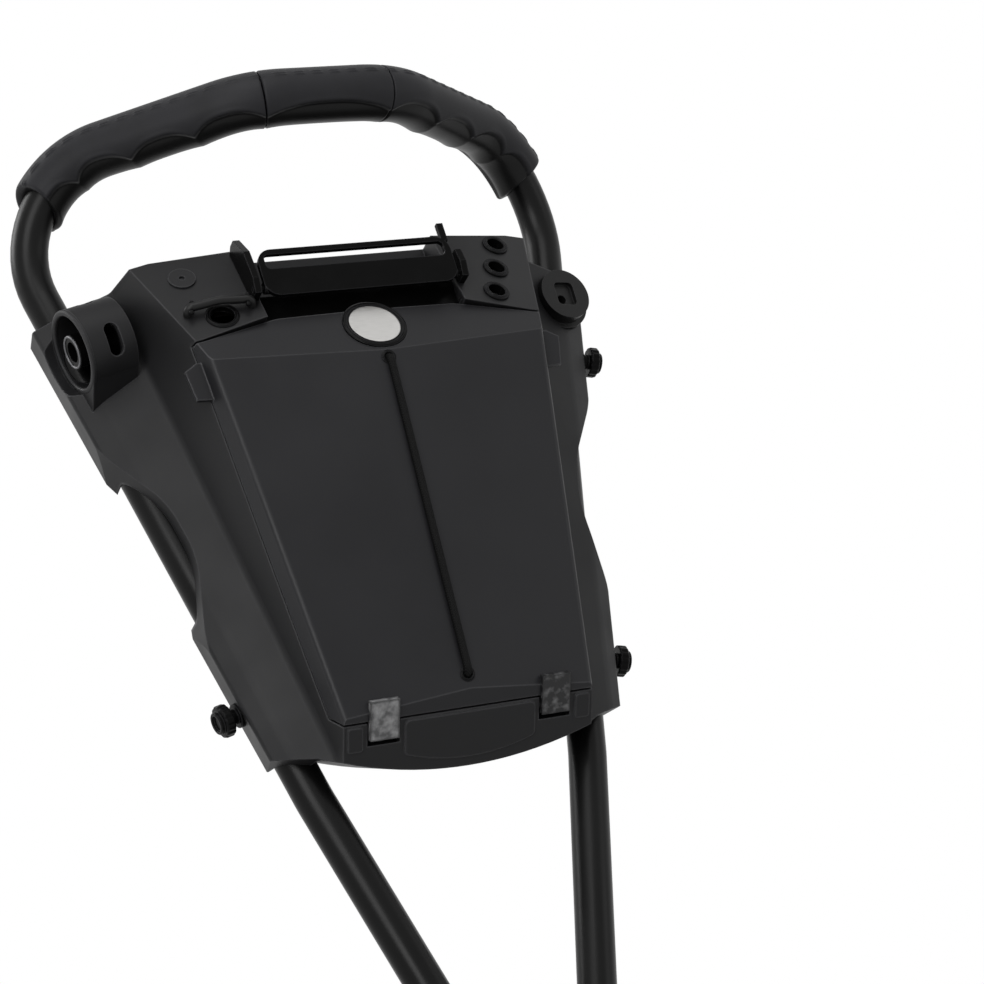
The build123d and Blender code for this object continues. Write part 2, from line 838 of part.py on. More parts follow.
flap_front = flap_axis_y - flap_barrel_radius
with BuildPart() as scorecard_flap:
    with BuildSketch(Plane.XZ.offset(-flap_front - flap_thickness)) as panel:
        with Locations((0, flap_low)):
            Rectangle(2 * flap_half, flap_high - flap_low, align=(Align.CENTER, Align.MIN))
        fillet(panel.vertices().group_by(Axis.Z)[0], flap_round)
        with Locations((0, flap_slot_low)):
            RectangleRounded(
                2 * flap_slot_half,
                flap_slot_high - flap_slot_low,
                flap_slot_round,
                align=(Align.CENTER, Align.MIN),
                mode=Mode.SUBTRACT,
            )
        # a finger at the right end, to pull the flap forward by
        with Locations((flap_half, flap_slot_high)):
            Rectangle(
                flap_finger_width, flap_finger_top - flap_slot_high, align=(Align.MAX, Align.MIN)
            )
    extrude(amount=flap_thickness)
    with BuildSketch(Plane.YZ.offset(-flap_half)):
        with Locations((flap_axis_y, flap_axis_z)):
            Circle(flap_barrel_radius)
            Circle(flap_pin_radius + flap_pin_clearance, mode=Mode.SUBTRACT)
    extrude(amount=2 * flap_half)
    with BuildSketch(Plane.YZ.offset(-flap_half)):
        with Locations((flap_axis_y, flap_axis_z)):
            Circle(flap_pin_radius + flap_pin_clearance)
    extrude(amount=2 * flap_half, mode=Mode.SUBTRACT)

# ---- umbrella boss on the left: a cup with a bored post in it ----
flange_normal = Vector(1, 0, -leg_slope).normalized()
boss_out = Vector(-flange_normal.X, 0, flange_normal.Z)
boss_plane = Plane(origin=(-boss_x, -boss_forward, boss_height), x_dir=(0, -1, 0), z_dir=boss_out)


def through_boss_wall(turn):
    # a plane on the cup's axis, facing out through its wall
    forward = boss_plane.x_dir * cos(radians(turn))
    upward = boss_plane.y_dir * sin(radians(turn))
    origin = boss_plane.origin - boss_out * boss_slot_back
    return Plane(origin=origin, x_dir=boss_out, z_dir=forward + upward)


with BuildPart() as boss_room:
    # all that the boss takes out of the flange, and the open way in front of its rim
    with BuildSketch(boss_plane):
        Circle(boss_outer)
        Polygon(*boss_foot, align=None)
    extrude(amount=-boss_length)
    with BuildSketch(boss_plane):
        Circle(boss_outer + boss_spare)
    extrude(amount=far)

with BuildPart() as umbrella_boss:
    with BuildSketch(boss_plane):
        Circle(boss_outer)
        Polygon(*boss_foot, align=None)
    extrude(amount=-boss_length)
    with BuildSketch(boss_plane):
        Circle(boss_inner)
    extrude(amount=-boss_length + boss_floor, mode=Mode.SUBTRACT)
    mirror(channel.part, about=Plane.YZ, mode=Mode.SUBTRACT)
    # an oval slot that runs round the front of its wall and a round hole above it
    with BuildSketch(through_boss_wall(boss_slot_turn)):
        SlotOverall(boss_slot_long, boss_slot_wide, rotation=90)
    extrude(amount=far, mode=Mode.SUBTRACT)
    with BuildSketch(through_boss_wall(boss_hole_turn)):
        Circle(boss_hole_radius)
    extrude(amount=far, mode=Mode.SUBTRACT)

with BuildPart() as umbrella_post:
    with BuildSketch(boss_plane.offset(-boss_length + boss_floor)):
        Circle(post_radius)
    extrude(amount=post_length)
    with BuildSketch(boss_plane.offset(-boss_length + boss_floor + post_length - post_bore_depth)):
        Circle(post_bore)
    extrude(amount=post_bore_depth, mode=Mode.SUBTRACT)

with console_shell:
    add(boss_room.part, mode=Mode.SUBTRACT)

# ---- accessory disc on the right flange ----
disc_plane = Plane(
    origin=(disc_x, -disc_forward, disc_height), x_dir=(0.98, 0.17, 0), z_dir=disc_normal
)
with BuildPart() as accessory_disc:
    with BuildSketch(disc_plane):
        Circle(disc_radius)
    extrude(amount=-disc_length)
    with BuildSketch(disc_plane.offset(-disc_base_back)):
        Circle(disc_base_radius)
    extrude(amount=disc_base_back - disc_length)
    add(envelope.part, mode=Mode.SUBTRACT)
    with BuildSketch(disc_plane):
        RectangleRounded(disc_recess_wide, disc_recess_tall, disc_recess_round)
    extrude(amount=-disc_recess_depth, mode=Mode.SUBTRACT)
    with BuildSketch(disc_plane):
        with Locations(disc_hole_place):
            Circle(disc_hole)
    extrude(amount=-disc_hole_depth, mode=Mode.SUBTRACT)

# ---- bolts through the flanges, each with a round knob ----
def knob_plane(side, height):
    return Plane(
        origin=(side * (leg_x(height) + knob_out), -knob_forward, height),
        z_dir=(side * flange_normal.X, 0, flange_normal.Z),
    )


def knob(side, height):
    with BuildPart() as bolt:
        start = -knob_sunk
        for radius, length in knob_steps:
            with BuildSketch(knob_plane(side, height).offset(start)):
                Circle(radius)
            extrude(amount=length)
            start += length
        add(envelope.part, mode=Mode.SUBTRACT)
        with BuildSketch(knob_plane(side, height).offset(-knob_shank_length)):
            Circle(knob_shank)
        extrude(amount=2 * knob_shank_length)
    return bolt


knob_lower_left = knob(-1, knob_low)
knob_lower_right = knob(1, knob_low)
knob_upper_right = knob(1, knob_high)

with console_shell:
    for side, height in ((-1, knob_low), (1, knob_low), (1, knob_high)):
        with BuildSketch(knob_plane(side, height).offset(-knob_shank_length)):
            Circle(knob_shank)
        extrude(amount=far, mode=Mode.SUBTRACT)


# ---- what stands on the decks ----
def on_deck(x, height):
    # a plane on the deck's face, with its x across the handle
    side = 1 if x > 0 else -1
    fall = deck_slope * (height - brow_height) + deck_fall * (abs(x) - lid_top_side_x)
    return Plane(
        origin=(x, -deck_depth + fall, height),
        x_dir=(1, side * deck_fall, 0),
        z_dir=(side * deck_fall, -1, deck_slope),
    )


def tee_ring(x, height):
    with BuildPart() as ring:
        with BuildSketch(on_deck(x, height)):
            Circle(tee_collar)
        extrude(amount=tee_collar_height)
        with BuildSketch(on_deck(x, height)):
            Circle(tee_sleeve)
        extrude(amount=-tee_depth)
        with BuildSketch(on_deck(x, height).offset(tee_collar_height)):
            Circle(tee_hole)
        extrude(amount=-tee_depth - tee_collar_height, mode=Mode.SUBTRACT)
    return ring


tee_ring_upper, tee_ring_middle, tee_ring_lower = [tee_ring(x, height) for x, height in tee_places]

with console_shell:
    for x, height in tee_places:
        with BuildSketch(on_deck(x, height)):
            Circle(tee_sleeve)
        extrude(amount=-2 * tee_depth, mode=Mode.SUBTRACT)
    with BuildSketch(on_deck(-strap_hole_x, strap_hole_height)):
        Circle(strap_hole)
    extrude(amount=-2 * tee_depth, mode=Mode.SUBTRACT)

# ---- strap loop over the hole in the left deck ----
strap_plane = on_deck(-strap_hole_x, strap_height)


def strap_point(along, across, out):
    return strap_plane.from_local_coords(Vector(along, across, out))


with BuildLine() as strap_line:
    FilletPolyline(
        strap_point(-strap_half, 0, -strap_root),
        strap_point(-strap_half, strap_foot_bow, strap_rise),
        strap_point(0, strap_bow, strap_crown),
        strap_point(strap_half, strap_foot_bow, strap_rise),
        strap_point(strap_half, 0, -strap_root),
        radius=[strap_bend, strap_crown_bend, strap_bend],
    )
strap_path = strap_line.wire()
with BuildPart() as strap_loop:
    with BuildSketch(Plane(strap_path @ 0, z_dir=strap_path % 0)):
        Circle(strap_radius)
    sweep(path=strap_path)
    add(envelope.part, mode=Mode.SUBTRACT)

# ---- a round plug in the left deck ----
with BuildPart() as deck_plug:
    with BuildSketch(on_deck(-plug_x, plug_height)):
        Circle(plug_radius)
        Circle(plug_hole, mode=Mode.SUBTRACT)
    extrude(amount=plug_rise)

# ---- every piece, tipped back and written ----
pieces = {
    "handle_tube": handle_tube,
    "pivot_sleeve": pivot_sleeve,
    "leg_plug_left": leg_plug_left,
    "leg_plug_right": leg_plug_right,
    "grip_left": grip_left,
    "grip_centre": grip_centre,
    "grip_right": grip_right,
    "console_shell": console_shell,
    "console_back": console_back,
    "hinge_pins": hinge_pins,
    "clip_fin_left": clip_fin_left,
    "clip_fin_right": clip_fin_right,
    "clip_pin": clip_pin,
    "umbrella_boss": umbrella_boss,
    "umbrella_post": umbrella_post,
    "accessory_disc": accessory_disc,
    "knob_lower_left": knob_lower_left,
    "knob_lower_right": knob_lower_right,
    "knob_upper_right": knob_upper_right,
    "tee_ring_upper": tee_ring_upper,
    "tee_ring_middle": tee_ring_middle,
    "tee_ring_lower": tee_ring_lower,
    "strap_loop": strap_loop,
    "deck_plug": deck_plug,
    "card_tray": card_tray,
    "lid": lid,
    "hinge_tab_left": hinge_tab_left,
    "hinge_tab_right": hinge_tab_right,
    "badge_ring": badge_ring,
    "badge_disc": badge_disc,
    "elastic_cord": elastic_cord,
    "scorecard_flap": scorecard_flap,
}
os.makedirs("parts", exist_ok=True)
tip_back = Location((0, 0, 0), (-lean, 0, 0))
for name, piece in pieces.items():
    piece.part.label = name
    export_step(piece.part.moved(tip_back), f"parts/{name}.step")
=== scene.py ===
import json
import math

import bmesh
import bpy
import numpy as np
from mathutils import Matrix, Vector


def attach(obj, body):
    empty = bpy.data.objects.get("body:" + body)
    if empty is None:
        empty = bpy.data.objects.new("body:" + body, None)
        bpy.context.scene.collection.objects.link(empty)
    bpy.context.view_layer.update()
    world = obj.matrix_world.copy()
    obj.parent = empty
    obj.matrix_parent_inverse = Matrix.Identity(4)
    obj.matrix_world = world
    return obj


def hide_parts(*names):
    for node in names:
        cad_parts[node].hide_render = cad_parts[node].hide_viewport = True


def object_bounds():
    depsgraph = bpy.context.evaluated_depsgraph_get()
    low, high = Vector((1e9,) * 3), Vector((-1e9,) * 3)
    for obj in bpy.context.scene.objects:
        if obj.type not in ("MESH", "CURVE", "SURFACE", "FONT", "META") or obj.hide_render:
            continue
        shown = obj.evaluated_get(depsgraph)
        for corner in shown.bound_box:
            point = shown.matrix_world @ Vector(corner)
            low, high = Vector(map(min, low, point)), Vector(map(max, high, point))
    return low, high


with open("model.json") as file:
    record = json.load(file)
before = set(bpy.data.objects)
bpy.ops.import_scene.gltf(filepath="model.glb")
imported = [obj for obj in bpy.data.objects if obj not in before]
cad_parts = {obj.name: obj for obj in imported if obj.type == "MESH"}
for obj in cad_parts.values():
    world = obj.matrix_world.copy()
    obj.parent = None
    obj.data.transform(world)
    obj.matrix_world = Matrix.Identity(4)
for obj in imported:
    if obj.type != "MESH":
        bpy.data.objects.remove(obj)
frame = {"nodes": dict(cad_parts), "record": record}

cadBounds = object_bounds()
print("frame loaded,", len(frame["nodes"]), "nodes")

# The handle leans back. Places are worked out along it in mm: x to the right, y to the user, h up the legs.
lean = math.radians(42.0)


def alongHandle(points):
    # handle places in mm to world places in metres: turned back by the lean about x
    p = np.asarray(points, float)
    y = p[..., 1] * math.cos(lean) + p[..., 2] * math.sin(lean)
    z = -p[..., 1] * math.sin(lean) + p[..., 2] * math.cos(lean)
    return np.stack([p[..., 0], y, z], axis=-1) / 1000


def unit(v):
    v = np.asarray(v, float)
    return v / np.linalg.norm(v, axis=-1, keepdims=True)


def smooth(t):
    # 0 below 0, 1 above 1, and a soft S between
    t = np.clip(t, 0, 1)
    return t * t * (3 - 2 * t)


def roundedRun(corners, radii, step, closed=False):
    # straight runs between corners, with an arc of each corner's radius tangent to both runs
    corners = [np.asarray(c, float) for c in corners]
    count = len(corners)
    points = [] if closed else [corners[0]]
    for i in range(count) if closed else range(1, count - 1):
        before, here, after = corners[i - 1], corners[i], corners[(i + 1) % count]
        u, v = unit(before - here), unit(after - here)
        half = math.acos(max(-1.0, min(1.0, float(u @ v)))) / 2
        radius = radii[i]
        if radius <= 0:
            points.append(here)
            continue
        centre = here + unit(u + v) * radius / math.sin(half)
        start = here + u * radius / math.tan(half) - centre
        sweep = math.pi - 2 * half
        turns = np.linspace(0, sweep, max(3, int(radius * sweep / step) + 1))
        side = unit(-u - start * (-u @ start) / radius ** 2)
        points.extend(centre + start * np.cos(turns)[:, None] + side * radius * np.sin(turns)[:, None])
    if not closed:
        points.append(corners[-1])
    return np.array(points)


def evenly(points, count):
    # the same run with this many points, evenly spaced along it
    lengths = np.concatenate([[0], np.cumsum(np.linalg.norm(np.diff(points, axis=0), axis=1))])
    at = np.linspace(0, lengths[-1], count)
    return np.stack([np.interp(at, lengths, points[:, k]) for k in range(points.shape[1])], axis=-1)


mergeDistance = 1e-7         # m; points closer than this are one pole


def surfacePiece(name, grid, material, body, wrapRows=False, marks=None):
    # a grid of world points made a closed mesh; columns join round, rows may, and poles are merged.
    # marks is an attribute's name and its value at each point, for the material to read
    rows, columns = grid.shape[:2]
    index = np.arange(rows * columns).reshape(rows, columns)
    if wrapRows:
        index = np.vstack([index, index[:1]])
    index = np.hstack([index, index[:, :1]])
    quads = np.stack([index[:-1, :-1], index[1:, :-1], index[1:, 1:], index[:-1, 1:]], axis=-1)
    quads = quads.reshape(-1, 4)
    mesh = bpy.data.meshes.new(name)
    mesh.vertices.add(rows * columns)
    mesh.vertices.foreach_set("co", grid.reshape(-1))
    mesh.loops.add(quads.size)
    mesh.loops.foreach_set("vertex_index", quads.reshape(-1))
    mesh.polygons.add(len(quads))
    mesh.polygons.foreach_set("loop_start", np.arange(0, quads.size, 4))
    mesh.polygons.foreach_set("loop_total", np.full(len(quads), 4))
    mesh.update(calc_edges=True)
    if marks:
        attribute = mesh.attributes.new(marks[0], "FLOAT", "POINT")
        attribute.data.foreach_set("value", marks[1].astype(float).reshape(-1))
    tidy = bmesh.new()
    tidy.from_mesh(mesh)
    bmesh.ops.remove_doubles(tidy, verts=tidy.verts, dist=mergeDistance)
    bmesh.ops.recalc_face_normals(tidy, faces=tidy.faces)
    tidy.to_mesh(mesh)
    tidy.free()
    mesh.polygons.foreach_set("use_smooth", np.ones(len(mesh.polygons), bool))
    piece = bpy.data.objects.new(name, mesh)
    bpy.context.scene.collection.objects.link(piece)
    mesh.materials.append(material)
    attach(piece, body)
    return piece


def turnedGrid(profile, origin, axis, sides, ripple=None):
    # a profile of (radius, height) in mm turned round an axis that starts at origin
    axis = unit(axis)
    across = unit(np.cross(axis, (0, 0, 1) if abs(axis[2]) < 0.9 else (1, 0, 0)))
    up = np.cross(axis, across)
    angle = np.linspace(0, 2 * math.pi, sides, endpoint=False)
    radius = profile[:, :1] + (ripple(profile, angle) if ripple else np.zeros((1, sides)))
    spokes = across * np.cos(angle)[:, None] + up * np.sin(angle)[:, None]
    return np.asarray(origin) + radius[..., None] * spokes + axis * profile[:, 1][:, None, None]


def linear(hexColour):
    # sRGB hex text to a linear RGBA tuple
    parts = [int(hexColour[i:i + 2], 16) / 255 for i in (1, 3, 5)]
    return tuple(c / 12.92 if c <= 0.04045 else ((c + 0.055) / 1.055) ** 2.4 for c in parts) + (1.0,)


def addNode(tree, kind, settings=None, **links):
    # one node with its settings; links name input sockets and give an output socket or a value
    node = tree.nodes.new(kind)
    for key, value in (settings or {}).items():
        setattr(node, key, value)
    for key, value in links.items():
        socket = node.inputs[int(key[1:])] if key[1:].isdigit() else node.inputs[key.replace("_", " ")]
        if isinstance(value, bpy.types.NodeSocket):
            tree.links.new(value, socket)
        else:
            socket.default_value = value
    return node


def newMaterial(name):
    material = bpy.data.materials.new(name)
    material.use_nodes = True
    tree = material.node_tree
    tree.nodes.clear()
    out = tree.nodes.new("ShaderNodeOutputMaterial")
    shader = tree.nodes.new("ShaderNodeBsdfPrincipled")
    tree.links.new(shader.outputs[0], out.inputs[0])
    return material, tree, shader


viewSet = {
    "azimuth": -25.11,        # degrees, seen from the left of straight on
    "elevation": 14.93,
    "distance": 1.613,
    "target": (0.06243, 0.21018, 0.27789),
    "lens": 101.8,
    "floorBelow": 0.62,       # the bracket holds the handle this far above the ground
    "floorHalf": 8.0,
}


def makeCamera():
    a, e = math.radians(viewSet["azimuth"]), math.radians(viewSet["elevation"])
    back = Vector((math.sin(a) * math.cos(e), -math.cos(a) * math.cos(e), math.sin(e)))
    camera = bpy.data.objects.new("camera", bpy.data.cameras.new("camera"))
    camera.data.lens = viewSet["lens"]
    camera.data.sensor_width = 36
    camera.location = Vector(viewSet["target"]) + back * viewSet["distance"]
    camera.rotation_euler = back.to_track_quat("Z", "Y").to_euler()
    bpy.context.scene.collection.objects.link(camera)
    bpy.context.scene.camera = camera


def seenDirectly(tree):
    # 1 where the camera, a reflection or a clear piece looks straight at the backdrop
    path = addNode(tree, "ShaderNodeLightPath")
    glossy = addNode(tree, "ShaderNodeMath", {"operation": "ADD"}, i0=path.outputs["Is Camera Ray"],
                     i1=path.outputs["Is Glossy Ray"])
    return addNode(tree, "ShaderNodeMath", {"operation": "ADD", "use_clamp": True}, i0=glossy.outputs[0],
                   i1=path.outputs["Is Transmission Ray"]).outputs[0]


def makeStage():
    # matt white paper under the trolley; what looks straight at it sees plain white
    lowest = cadBounds[0][2] - viewSet["floorBelow"]
    half = viewSet["floorHalf"]
    corners = [(x, y, lowest) for x, y in ((-half, -half), (half, -half), (half, half), (-half, half))]
    mesh = bpy.data.meshes.new("floor")
    mesh.from_pydata(corners, [], [(0, 1, 2, 3)])
    floor = bpy.data.objects.new("floor", mesh)
    material = bpy.data.materials.new("whitePaper")
    material.use_nodes = True
    tree = material.node_tree
    tree.nodes.clear()
    paper = addNode(tree, "ShaderNodeBsdfDiffuse", Color=linear("#f4f4f2"))
    white = addNode(tree, "ShaderNodeEmission", Strength=1.0)
    mix = addNode(tree, "ShaderNodeMixShader", i0=seenDirectly(tree), i1=paper.outputs[0],
                  i2=white.outputs[0])
    addNode(tree, "ShaderNodeOutputMaterial", Surface=mix.outputs[0])
    mesh.materials.append(material)
    bpy.context.scene.collection.objects.link(floor)


studio = {
    "world": 0.36,            # soft fill from all round
    "lamps": [                # name, place from the target in m, side in m, watts
        ("leftSoftbox", (-1.5, -1.3, 1.25), 1.2, 24),
        ("rightSoftbox", (1.5, -0.9, 0.9), 0.8, 2),
        ("topSoftbox", (-0.45, -0.2, 1.85), 1.2, 15),
        ("backStrip", (-1.2, 1.3, 0.5), 0.8, 10),
    ],
}


def makeLight():
    world = bpy.data.worlds.new("studio")
    bpy.context.scene.world = world
    world.use_nodes = True
    tree = world.node_tree
    tree.nodes.clear()
    fill = addNode(tree, "ShaderNodeBackground", Color=(1, 1, 1, 1), Strength=studio["world"])
    white = addNode(tree, "ShaderNodeBackground", Color=(1, 1, 1, 1), Strength=1.0)
    mix = addNode(tree, "ShaderNodeMixShader", i0=seenDirectly(tree), i1=fill.outputs[0], i2=white.outputs[0])
    addNode(tree, "ShaderNodeOutputWorld", Surface=mix.outputs[0])
    middle = Vector(viewSet["target"])
    for name, place, size, watts in studio["lamps"]:
        lamp = bpy.data.lights.new(name, "AREA")
        lamp.shape = "SQUARE"
        lamp.size = size
        lamp.energy = watts
        holder = bpy.data.objects.new(name, lamp)
        holder.location = middle + Vector(place)
        holder.rotation_euler = Vector(place).to_track_quat("Z", "Y").to_euler()
        bpy.context.scene.collection.objects.link(holder)


makeCamera()
makeStage()
makeLight()
scene = bpy.context.scene
scene.view_settings.view_transform = "Standard"
print("camera, floor and light in place")


def noise(tree, where, sizeMm, detail):
    # cloudy noise whose patches are about sizeMm across
    return addNode(tree, "ShaderNodeTexNoise", Vector=where, Scale=1000 / sizeMm, Detail=detail).outputs[0]


def softEdge(tree, radiusMm):
    # normal rounded over the edges as a mould's corners are, and a mask that is 1 on an edge
    eased = addNode(tree, "ShaderNodeBevel", {"samples": 4}, Radius=radiusMm / 1000)
    flat = addNode(tree, "ShaderNodeNewGeometry").outputs["Normal"]
    facing = addNode(tree, "ShaderNodeVectorMath", {"operation": "DOT_PRODUCT"}, i0=eased.outputs[0], i1=flat)
    edge = addNode(tree, "ShaderNodeMapRange", Value=facing.outputs["Value"], i1=1.0, i2=0.93, i3=0.0, i4=1.0)
    return eased.outputs[0], edge.outputs[0]


def mouldedPlastic(name, look):
    # moulded or lacquered skin: fine grain, cloudy marks in its colour and shine, and an edge colour that is
    # partly wear and partly painted light: pale edges as painted highlights, dark edges as painted shade
    material, tree, shader = newMaterial(name)
    where = addNode(tree, "ShaderNodeTexCoord").outputs["Object"]
    normal, edge = softEdge(tree, look["edgeMm"])
    cloud = noise(tree, where, look["cloudMm"], 3.0)
    grain = noise(tree, where, look["grainMm"], 1.0)
    low, high = look.get("patch", (0.0, 1.0))
    patch = addNode(tree, "ShaderNodeMapRange", Value=cloud, i1=low, i2=high, i3=0.0, i4=1.0)
    body = addNode(tree, "ShaderNodeMix", {"data_type": "RGBA"}, i0=patch.outputs[0], i6=linear(look["dark"]),
                   i7=linear(look["pale"]))
    # the edge colour laid over the edges stands partly for wear and partly for painted light on them
    share = addNode(tree, "ShaderNodeMath", {"operation": "MULTIPLY"}, i0=edge, i1=look["wearAndPaintedLightShare"])
    wearAndPaintedLightEdges = addNode(tree, "ShaderNodeMix", {"data_type": "RGBA"}, i0=share.outputs[0], i6=body.outputs[2],
                   i7=linear(look["edge"]))
    tree.links.new(wearAndPaintedLightEdges.outputs[2], shader.inputs["Base Color"])
    smoothest, roughest = look["rough"]
    rough = addNode(tree, "ShaderNodeMapRange", Value=cloud, i1=0.3, i2=0.7, i3=smoothest, i4=roughest)
    tree.links.new(rough.outputs[0], shader.inputs["Roughness"])
    bump = addNode(tree, "ShaderNodeBump", Height=grain, Distance=look["grainDepthMm"] / 1000, Strength=1.0,
                   Normal=normal)
    tree.links.new(bump.outputs[0], shader.inputs["Normal"])
    shader.inputs["Specular IOR Level"].default_value = look["shine"]
    return material


plasticLooks = {
    # edge is the colour laid on each look's edges: the pale ones stand partly for wear and partly for painted
    # edge highlights
    # ABS from a spark-eroded mould: a dull black skin with a fine even grain
    "mouldedHousing": dict(dark="#161617", pale="#1d1d1e", edge="#505052", wearAndPaintedLightShare=0.55, edgeMm=1.3, cloudMm=45,
                           grainMm=0.7, grainDepthMm=0.03, rough=(0.4, 0.55), shine=0.17),
    # the lid is the same ABS on a smoother mould, so its broad faces show more sheen
    "mouldedLid": dict(dark="#171719", pale="#1e1e20", edge="#5a5a5c", wearAndPaintedLightShare=0.55, edgeMm=1.3, cloudMm=60,
                       grainMm=0.8, grainDepthMm=0.02, rough=(0.35, 0.48), shine=0.19),
    # nylon from a polished mould: deep black, with pale edges painted as sharp edge highlights
    "glossNylon": dict(dark="#050505", pale="#0a0a0a", edge="#3a3a3c", wearAndPaintedLightShare=0.6, edgeMm=0.8, cloudMm=18,
                       grainMm=1.5, grainDepthMm=0.01, rough=(0.18, 0.3), shine=0.05),
    # soft vinyl: matt and slightly waxy
    "softVinyl": dict(dark="#0d0d0d", pale="#131313", edge="#3c3c3d", wearAndPaintedLightShare=0.5, edgeMm=0.6, cloudMm=10,
                      grainMm=0.9, grainDepthMm=0.03, rough=(0.35, 0.5), shine=0.2),
    # black powder coat on tube: even, half gloss, with a slight orange peel
    "powderCoat": dict(dark="#080808", pale="#0d0d0d", edge="#2c2c2d", wearAndPaintedLightShare=0.2, edgeMm=0.5, cloudMm=80,
                       grainMm=1.6, grainDepthMm=0.02, rough=(0.26, 0.36), shine=0.13),
    # hinge plates: hard lacquer over pressed steel, painted dark at the edges as painted shade; the left one
    # is painted pale grey in the middle as a painted highlight, and the right one is dark with pale flecks
    # painted as glints
    "lacquerPaintedHighlight": dict(dark="#4a4a4b", pale="#868687", edge="#161617", wearAndPaintedLightShare=1.0, edgeMm=2.4, cloudMm=5,
                          grainMm=0.8, grainDepthMm=0.03, rough=(0.3, 0.5), shine=0.3, patch=(0.35, 0.65)),
    "lacquerPaintedGlints": dict(dark="#151516", pale="#5a5a5b", edge="#1c1c1d", wearAndPaintedLightShare=1.0, edgeMm=1.8, cloudMm=4,
                           grainMm=0.8, grainDepthMm=0.03, rough=(0.3, 0.5), shine=0.3, patch=(0.5, 0.75)),
}


# scoop is the colour in the finger scoops, darker than the skin as painted shade
rubberLook = dict(dark="#1d1d1e", pale="#27272a", scoop="#141414", cloudMm=22, pebbleMm=1.1,
                  pebbleDepthMm=0.05, rough=(0.5, 0.34), shine=0.12)


def overMouldedRubber(name, look):
    # thermoplastic rubber over-mould: dull and pebbled on top, smoother in the finger scoops, whose colour is
    # darkened as painted shade
    material, tree, shader = newMaterial(name)
    where = addNode(tree, "ShaderNodeTexCoord").outputs["Object"]
    scoop = addNode(tree, "ShaderNodeAttribute", {"attribute_name": "scoop"}).outputs["Fac"]
    cloud = noise(tree, where, look["cloudMm"], 3.0)
    pebble = addNode(tree, "ShaderNodeTexVoronoi", {"feature": "SMOOTH_F1"}, Vector=where,
                     Scale=1000 / look["pebbleMm"], Smoothness=0.6).outputs["Distance"]
    skin = addNode(tree, "ShaderNodeMix", {"data_type": "RGBA"}, i0=cloud, i6=linear(look["dark"]),
                   i7=linear(look["pale"]))
    # the finger scoops take the darker colour: painted shade
    colour = addNode(tree, "ShaderNodeMix", {"data_type": "RGBA"}, i0=scoop, i6=skin.outputs[2],
                     i7=linear(look["scoop"]))
    tree.links.new(colour.outputs[2], shader.inputs["Base Color"])
    onSkin, inScoop = look["rough"]
    rough = addNode(tree, "ShaderNodeMapRange", Value=scoop, i1=0.0, i2=1.0, i3=onSkin, i4=inScoop)
    tree.links.new(rough.outputs[0], shader.inputs["Roughness"])
    bump = addNode(tree, "ShaderNodeBump", Height=pebble, Distance=look["pebbleDepthMm"] / 1000, Strength=0.8)
    tree.links.new(bump.outputs[0], shader.inputs["Normal"])
    shader.inputs["Specular IOR Level"].default_value = look["shine"]
    return material


cordLook = dict(gap="#020202", strand="#121212", strandMm=1.0, strandDepthMm=0.3)


def wovenCord(name, look):
    # elastic cord: a polyester sheath braided over rubber, strands about 1 mm wide crossing at 45 degrees
    material, tree, shader = newMaterial(name)
    where = addNode(tree, "ShaderNodeTexCoord").outputs["Object"]
    strands = []
    for turn in (math.radians(45), math.radians(-45)):
        laid = addNode(tree, "ShaderNodeMapping", Vector=where, Rotation=(lean, turn, 0.0))
        wave = addNode(tree, "ShaderNodeTexWave", {"wave_profile": "SIN"}, Vector=laid.outputs[0],
                       Scale=1000 / look["strandMm"] / math.pi, Distortion=0.4, Detail=1.0)
        strands.append(wave.outputs["Fac"])
    weave = addNode(tree, "ShaderNodeMath", {"operation": "MULTIPLY"}, i0=strands[0], i1=strands[1])
    colour = addNode(tree, "ShaderNodeMix", {"data_type": "RGBA"}, i0=weave.outputs[0],
                     i6=linear(look["gap"]), i7=linear(look["strand"]))
    tree.links.new(colour.outputs[2], shader.inputs["Base Color"])
    bump = addNode(tree, "ShaderNodeBump", Height=weave.outputs[0], Distance=look["strandDepthMm"] / 1000,
                   Strength=1.0)
    tree.links.new(bump.outputs[0], shader.inputs["Normal"])
    shader.inputs["Roughness"].default_value = 0.6
    shader.inputs["Specular IOR Level"].default_value = 0.1
    return material


metalLooks = {
    # bright zinc plate on steel, a duller one that has been handled, and a brushed aluminium disc
    "zincPlatedSteel": dict(dark="#77777a", pale="#a2a2a4", rough=0.32, streakMm=0.5, edgeMm=0.6),
    "dulledSteel": dict(dark="#4c4c4e", pale="#727274", rough=0.36, streakMm=0.5, edgeMm=0.6),
    "satinAluminium": dict(dark="#aeadab", pale="#c4c3c1", rough=0.42, streakMm=0.4, edgeMm=0.6),
}


def brightMetal(name, look):
    # plated or brushed metal: short drawn streaks in its colour and shine
    material, tree, shader = newMaterial(name)
    where = addNode(tree, "ShaderNodeTexCoord").outputs["Object"]
    drawn = addNode(tree, "ShaderNodeMapping", Vector=where, Scale=(0.08, 1.0, 1.0))
    streak = noise(tree, drawn.outputs[0], look["streakMm"], 2.0)
    normal = softEdge(tree, look["edgeMm"])[0]
    colour = addNode(tree, "ShaderNodeMix", {"data_type": "RGBA"}, i0=streak, i6=linear(look["dark"]),
                     i7=linear(look["pale"]))
    tree.links.new(colour.outputs[2], shader.inputs["Base Color"])
    rough = addNode(tree, "ShaderNodeMapRange", Value=streak, i1=0.3, i2=0.7, i3=look["rough"] - 0.06,
                    i4=look["rough"] + 0.06)
    tree.links.new(rough.outputs[0], shader.inputs["Roughness"])
    bump = addNode(tree, "ShaderNodeBump", Height=streak, Distance=0.00001, Strength=0.4, Normal=normal)
    tree.links.new(bump.outputs[0], shader.inputs["Normal"])
    shader.inputs["Metallic"].default_value = 1.0
    return material


